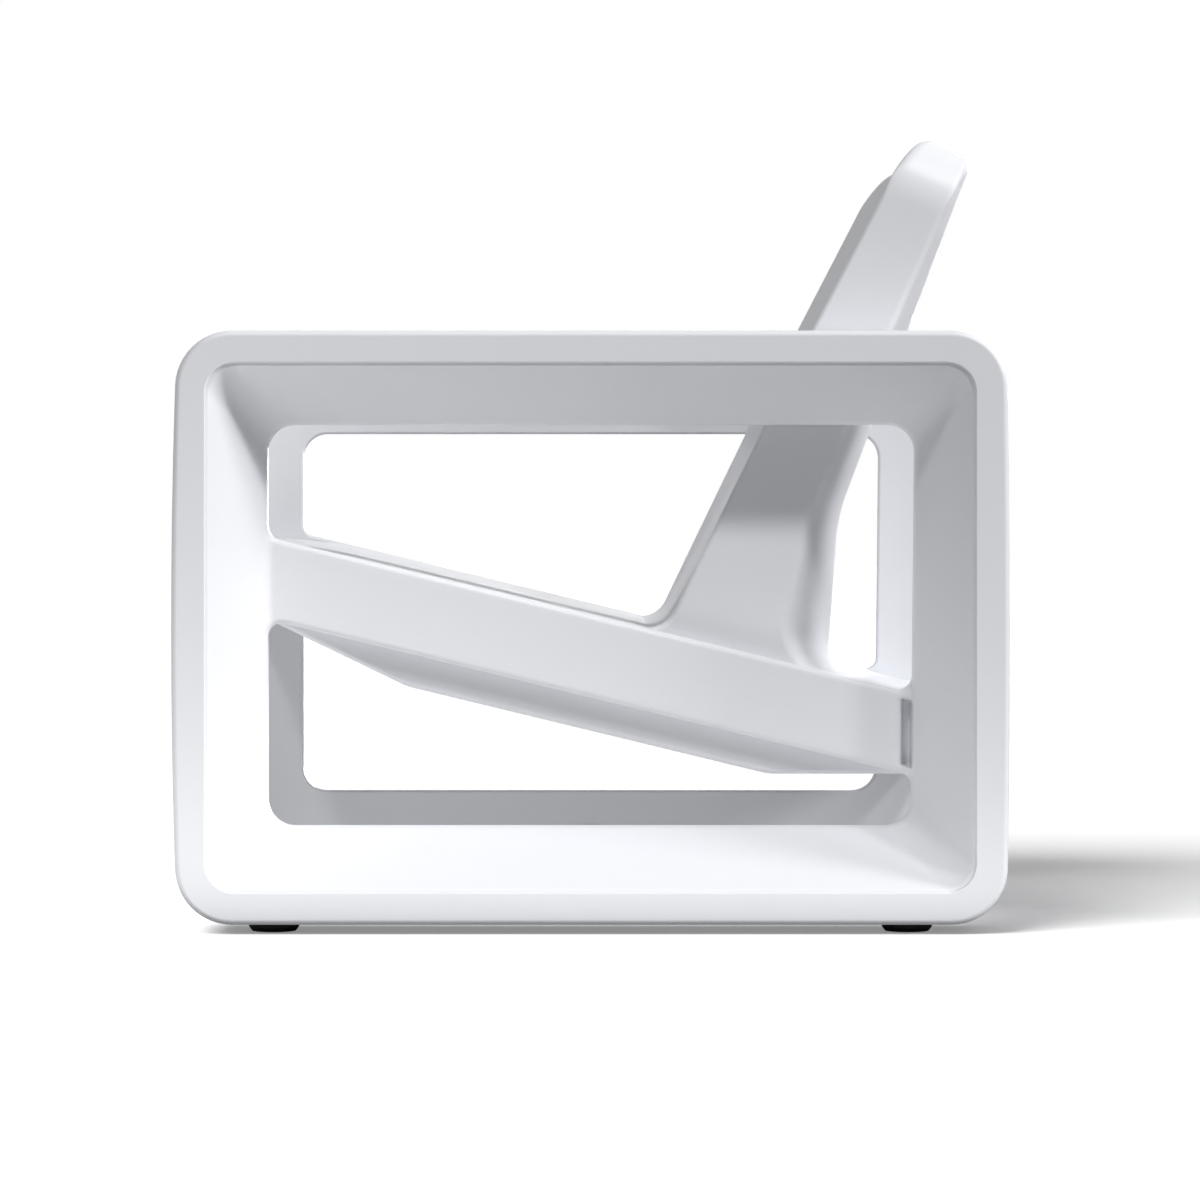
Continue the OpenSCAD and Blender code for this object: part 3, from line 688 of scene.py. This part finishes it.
class Nodes:
    """A material's node tree, built with few words."""

    def __init__(self, name):
        self.material = bpy.data.materials.new(name)
        self.material.use_nodes = True
        self.tree = self.material.node_tree
        self.shader = self.tree.nodes["Principled BSDF"]
        self.place = self.tree.nodes.new("ShaderNodeTexCoord").outputs["Object"]

    def new(self, kind, **values):
        """A new node with some of its settings."""
        node = self.tree.nodes.new(kind)
        for key, value in values.items():
            setattr(node, key, value)
        return node

    def link(self, a, b):
        self.tree.links.new(a, b)

    def noise(self, scale, detail=3.0, rough=0.55, place=None):
        """Noise of a given fineness, per metre of the object unless a place is given."""
        node = self.new("ShaderNodeTexNoise")
        node.inputs["Scale"].default_value = scale
        node.inputs["Detail"].default_value = detail
        node.inputs["Roughness"].default_value = rough
        self.link(place or self.place, node.inputs["Vector"])
        return node.outputs["Fac"]

    def spread(self, value, low, high):
        """A value from 0 to 1 spread over low to high."""
        node = self.new("ShaderNodeMapRange")
        node.inputs["To Min"].default_value = low
        node.inputs["To Max"].default_value = high
        self.link(value, node.inputs["Value"])
        return node.outputs["Result"]

    def tint(self, value, dark, light):
        """A colour between two, chosen by a value from 0 to 1."""
        node = self.new("ShaderNodeMix", data_type="RGBA")
        node.inputs["A"].default_value = (*dark, 1)
        node.inputs["B"].default_value = (*light, 1)
        self.link(value, node.inputs["Factor"])
        return node.outputs["Result"]

    def bump(self, height, distance, strength, under=None):
        """A surface direction with bumps, laid over one given as under."""
        node = self.new("ShaderNodeBump")
        node.inputs["Distance"].default_value = distance
        node.inputs["Strength"].default_value = strength
        self.link(height, node.inputs["Height"])
        if under is not None:
            self.link(under, node.inputs["Normal"])
        return node.outputs["Normal"]

    def finish(self, colour, rough, normal, metallic=0.0):
        """Links the shader up and hands over the material."""
        self.link(colour, self.shader.inputs["Base Color"])
        self.link(rough, self.shader.inputs["Roughness"])
        self.link(normal, self.shader.inputs["Normal"])
        self.shader.inputs["Metallic"].default_value = metallic
        return self.material


def moulded_plastic(name, dark, light, rough, grain):
    """Polyethylene: a fine satin grain over the slight waviness of a large moulding."""
    n = Nodes(name)
    waves = n.noise(5.0, 2.0)
    clouds = n.noise(18.0, 4.0)
    fine = n.noise(1400.0, 2.0, 0.6)
    peel = n.noise(210.0, 3.0)
    normal = n.bump(waves, 0.004, 0.10)
    normal = n.bump(peel, 0.0004, 0.10, normal)
    normal = n.bump(fine, 0.0002, grain, normal)
    return n.finish(n.tint(clouds, dark, light), n.spread(peel, rough - 0.04, rough + 0.05), normal)


def black_rubber():
    """Matt black rubber with a trace of dust."""
    n = Nodes("black_rubber")
    dust = n.noise(60.0, 5.0, 0.65)
    fine = n.noise(1600.0, 2.0)
    return n.finish(
        n.tint(dust, (0.018, 0.018, 0.019), (0.032, 0.031, 0.030)),
        n.spread(dust, 0.55, 0.75),
        n.bump(fine, 0.0002, 0.35),
    )


def plated_metal(name, dark, light, rough):
    """Plated or turned metal with faint tool marks."""
    n = Nodes(name)
    spots = n.noise(300.0, 4.0)
    stretch = n.new("ShaderNodeMapping")
    stretch.inputs["Scale"].default_value = (1, 1, 30)
    n.link(n.place, stretch.inputs["Vector"])
    marks = n.noise(150.0, 2.0, 0.5, stretch.outputs["Vector"])
    polish = n.spread(spots, rough - 0.06, rough + 0.08)
    return n.finish(n.tint(spots, dark, light), polish, n.bump(marks, 0.0001, 0.3), 1.0)


def paint(obj, material):
    """Gives an object one material."""
    obj.data.materials.clear()
    obj.data.materials.append(material)


# Stage


def white_where_seen(tree, colour, strength):
    """A shader that is white where the camera, a reflection or a clear piece looks at it."""
    paths = tree.nodes.new("ShaderNodeLightPath")
    seen = tree.nodes.new("ShaderNodeMath")
    seen.operation = "MAXIMUM"
    tree.links.new(paths.outputs["Is Camera Ray"], seen.inputs[0])
    tree.links.new(paths.outputs["Is Glossy Ray"], seen.inputs[1])
    clear = tree.nodes.new("ShaderNodeMath")
    clear.operation = "MAXIMUM"
    tree.links.new(seen.outputs[0], clear.inputs[0])
    tree.links.new(paths.outputs["Is Transmission Ray"], clear.inputs[1])
    plain = tree.nodes.new("ShaderNodeBackground")
    plain.inputs["Color"].default_value = (*colour, 1)
    plain.inputs["Strength"].default_value = strength
    white = tree.nodes.new("ShaderNodeBackground")
    white.inputs["Color"].default_value = (1, 1, 1, 1)
    mix = tree.nodes.new("ShaderNodeMixShader")
    tree.links.new(clear.outputs[0], mix.inputs[0])
    tree.links.new(plain.outputs[0], mix.inputs[1])
    tree.links.new(white.outputs[0], mix.inputs[2])
    return mix.outputs[0]


AMBIENT = 0.02
SKY = (0.97, 0.98, 1.0)
FLOOR_HALF = 30.0
FLOOR_GLOW = 0.25
FLOOR_SEEN = (0.92, 0.92, 0.92)
FLOOR_BOUNCE = (0.25, 0.25, 0.25)
CARD_LIFT = 0.004

# Distant lamps: bearing to the right of the camera, height, strength and softness, with angles in degrees
SUNS = {
    "key": (35, 50, 0.95, 5),
    "fill": (-29, 51, 0.55, 5),
    "high": (0, 65, 0.25, 5),
    "upper_right": (52, 41, 0.68, 5),
    "side": (75, 25, 1.62, 12),
    "behind": (165, 5, 1.6, 20),
}
FLOOR_SUN = (-40, 46, 3.85, 40)

# Soft lights on the floor: middle, width and depth in metres, and watts
CARDS = {
    "card_under": ((0, 0), (0.76, 0.54), 0.62),
    "card_front": ((0, -0.56), (1.0, 0.24), 0.95),
    "card_left": ((-0.75, -0.5), (0.5, 1.0), 2.6),
}

LENS = 141.0
SENSOR_W = 36.0
CAMERA_SHIFT = (0.01, -0.0775)
CAMERA_PLACE = (-0.0025, -5.1, 0.4283)


def make_world():
    """A world that looks white and adds a little light."""
    world = bpy.data.worlds.new("studio")
    bpy.context.scene.world = world
    world.use_nodes = True
    tree = world.node_tree
    look = white_where_seen(tree, SKY, AMBIENT)
    tree.links.new(look, tree.nodes["World Output"].inputs["Surface"])


def make_floor():
    """A pale floor that glows a little for the camera, so that it meets the backdrop."""
    mesh = bpy.data.meshes.new("floor")
    s = FLOOR_HALF
    mesh.from_pydata([(-s, -s, 0), (s, -s, 0), (s, s, 0), (-s, s, 0)], [], [(0, 1, 2, 3)])
    floor = bpy.data.objects.new("floor", mesh)
    bpy.context.scene.collection.objects.link(floor)
    n = Nodes("pale_floor")
    paths = n.new("ShaderNodeLightPath")
    colour = n.tint(paths.outputs["Is Camera Ray"], FLOOR_BOUNCE, FLOOR_SEEN)
    n.link(colour, n.shader.inputs["Base Color"])
    n.shader.inputs["Roughness"].default_value = 0.9
    n.shader.inputs["Specular IOR Level"].default_value = 0.1
    glow = n.new("ShaderNodeEmission")
    level = n.new("ShaderNodeMath", operation="MULTIPLY")
    level.inputs[1].default_value = FLOOR_GLOW
    n.link(paths.outputs["Is Camera Ray"], level.inputs[0])
    n.link(level.outputs[0], glow.inputs["Strength"])
    both = n.new("ShaderNodeAddShader")
    n.link(n.shader.outputs[0], both.inputs[0])
    n.link(glow.outputs[0], both.inputs[1])
    n.link(both.outputs[0], n.tree.nodes["Material Output"].inputs["Surface"])
    mesh.materials.append(n.material)
    return floor


def make_sun(name, turn, height, energy, softness):
    """A distant lamp; turn is its bearing to the right of the camera, height its elevation."""
    light = bpy.data.lights.new(name, "SUN")
    light.energy = energy
    light.angle = math.radians(softness)
    obj = bpy.data.objects.new(name, light)
    a, e = math.radians(turn), math.radians(height)
    towards = Vector((math.sin(a) * math.cos(e), -math.cos(a) * math.cos(e), math.sin(e)))
    obj.rotation_mode = "QUATERNION"
    obj.rotation_quaternion = towards.to_track_quat("Z", "Y")
    bpy.context.scene.collection.objects.link(obj)
    return obj


def make_card(name, place, size, watts):
    """A soft light lying on the floor, out of the camera's sight, that lights the chair from below."""
    light = bpy.data.lights.new(name, "AREA")
    light.shape = "RECTANGLE"
    light.size, light.size_y = size
    light.energy = watts
    obj = bpy.data.objects.new(name, light)
    obj.location = (*place, CARD_LIFT)
    obj.rotation_euler = (math.pi, 0, 0)
    obj.visible_camera = False
    bpy.context.scene.collection.objects.link(obj)
    return obj


def choose(lamp, obj, state):
    """Lets a lamp light one object only, or every object but one; state is INCLUDE or EXCLUDE."""
    chosen = bpy.data.collections.new("chosen_by_" + lamp.name)
    chosen.objects.link(obj)
    lamp.light_linking.receiver_collection = chosen
    chosen.collection_objects[0].light_linking.link_state = state


def make_camera():
    """The photograph's view: level, square to the side, 4.7 m from the near side frame."""
    data = bpy.data.cameras.new("camera")
    data.lens = LENS
    data.sensor_width = SENSOR_W
    data.shift_x, data.shift_y = CAMERA_SHIFT
    data.clip_end = 100.0
    camera = bpy.data.objects.new("camera", data)
    camera.location = CAMERA_PLACE
    camera.rotation_euler = (math.pi / 2, 0, 0)
    bpy.context.scene.collection.objects.link(camera)
    bpy.context.scene.camera = camera


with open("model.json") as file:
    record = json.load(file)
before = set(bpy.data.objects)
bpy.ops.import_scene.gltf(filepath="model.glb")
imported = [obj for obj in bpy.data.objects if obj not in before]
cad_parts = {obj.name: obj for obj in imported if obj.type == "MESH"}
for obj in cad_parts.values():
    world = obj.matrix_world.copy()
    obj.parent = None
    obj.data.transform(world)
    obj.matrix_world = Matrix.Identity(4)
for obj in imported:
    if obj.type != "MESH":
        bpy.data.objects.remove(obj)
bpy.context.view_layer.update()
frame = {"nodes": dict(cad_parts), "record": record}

WHITE = ((0.80, 0.807, 0.838), (0.82, 0.827, 0.858))
frame_plastic = moulded_plastic("frame_plastic", *WHITE, 0.42, 0.10)
shell_plastic = moulded_plastic("shell_plastic", *WHITE, 0.44, 0.10)
cover_plastic = moulded_plastic("cover_plastic", (0.74, 0.75, 0.76), (0.77, 0.78, 0.79), 0.36, 0.05)
rubber = black_rubber()
zinc = plated_metal("zinc_plate", (0.52, 0.53, 0.55), (0.66, 0.67, 0.68), 0.32)
brass = plated_metal("turned_brass", (0.62, 0.48, 0.20), (0.74, 0.58, 0.26), 0.34)

for piece, node, look, slot in (
    (side_frame("left_frame_moulding", -1), "left_side_frame", frame_plastic, "side_frame_plastic"),
    (side_frame("right_frame_moulding", 1), "right_side_frame", frame_plastic, "side_frame_plastic"),
    (seat_and_back(), "seat_and_back_shell", shell_plastic, "seat_shell_plastic"),
):
    paint(piece, look)
    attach(piece, "root")
    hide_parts(node)

LOOKS = {
    "cover_plastic": cover_plastic,
    "foot_rubber": rubber,
    "zinc_plated_steel": zinc,
    "insert_brass": brass,
}
for part in frame["record"]["subparts"]:
    look = LOOKS.get(part["material_slot"])
    if look:
        paint(frame["nodes"][part["node"]], look)

bpy.context.scene.view_settings.view_transform = "Standard"
make_world()
floor = make_floor()
lamps = [make_sun(name, *values) for name, values in SUNS.items()]
lamps += [make_card(name, *values) for name, values in CARDS.items()]
for lamp in lamps:
    choose(lamp, floor, "EXCLUDE")
choose(make_sun("floor_lamp", *FLOOR_SUN), floor, "INCLUDE")
make_camera()
